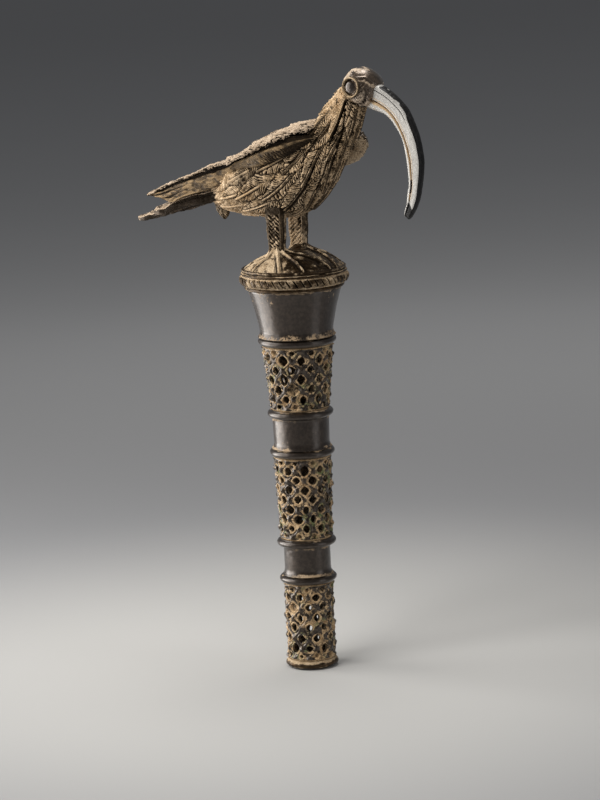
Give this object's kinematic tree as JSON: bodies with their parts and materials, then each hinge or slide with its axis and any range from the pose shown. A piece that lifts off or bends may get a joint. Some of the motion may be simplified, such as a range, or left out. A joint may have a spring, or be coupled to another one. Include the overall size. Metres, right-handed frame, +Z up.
{
  "type": "ceremonial staff",
  "caption": "Cast bronze ceremonial staff: an ibis with a long curved beak on a domed platform over a flared cup and a hollow tapering openwork shaft",
  "frame": {"origin": "on the shaft's axis, at the plane of the foot's underside, where a pin or a wooden shaft enters the hollow", "axes": "+Z up along the shaft, +X the way the bird faces, +Y the bird's left"},
  "size_m": [0.2182, 0.0684, 0.3805],
  "materials": {
    "dark_polish": "dark brown-black bronze, rubbed to a satin gloss",
    "openwork": "cast bronze, dark rubbed knots and tan deposits in the recesses, a little verdigris",
    "cast_surface": "cast bronze with tan casting-clay deposits in the grooves",
    "plumage": "cast bronze, worn high points over tan and dark grooves",
    "wing": "cast bronze, finely striated, dull satin",
    "head": "dark purplish-brown bronze, rubbed smooth",
    "beak": "rubbed pale grey bronze with a dark ridge"
  },
  "bodies": {
    "root": {"foot_flange": "cast_surface", "lower_openwork_sleeve": "openwork", "ring_below_lower_band": "dark_polish", "lower_plain_band": "dark_polish", "ring_above_lower_band": "dark_polish", "middle_openwork_sleeve": "openwork", "ring_below_upper_band": "dark_polish", "upper_plain_band": "dark_polish", "ring_above_upper_band": "dark_polish", "upper_openwork_sleeve": "openwork", "ring_below_cup": "dark_polish", "flared_cup": "dark_polish", "cup_lower_fillet": "cast_surface", "rope_border": "cast_surface", "cup_upper_fillet": "cast_surface", "platform_mound": "cast_surface", "right_foot": "cast_surface", "left_foot": "cast_surface", "right_leg": "cast_surface", "left_leg": "cast_surface", "body": "plumage", "right_plumage": "plumage", "left_plumage": "plumage", "right_wing": "wing", "left_wing": "wing", "right_wing_coverts": "plumage", "left_wing_coverts": "plumage", "middle_tail_feather": "wing", "right_tail_feather": "wing", "left_tail_feather": "wing", "undertail_covert": "wing", "head": "head", "upper_beak": "beak", "lower_beak": "beak", "right_eye_rim": "head", "right_eye": "head", "left_eye_rim": "head", "left_eye": "head"}
  },
  "joints": []
}
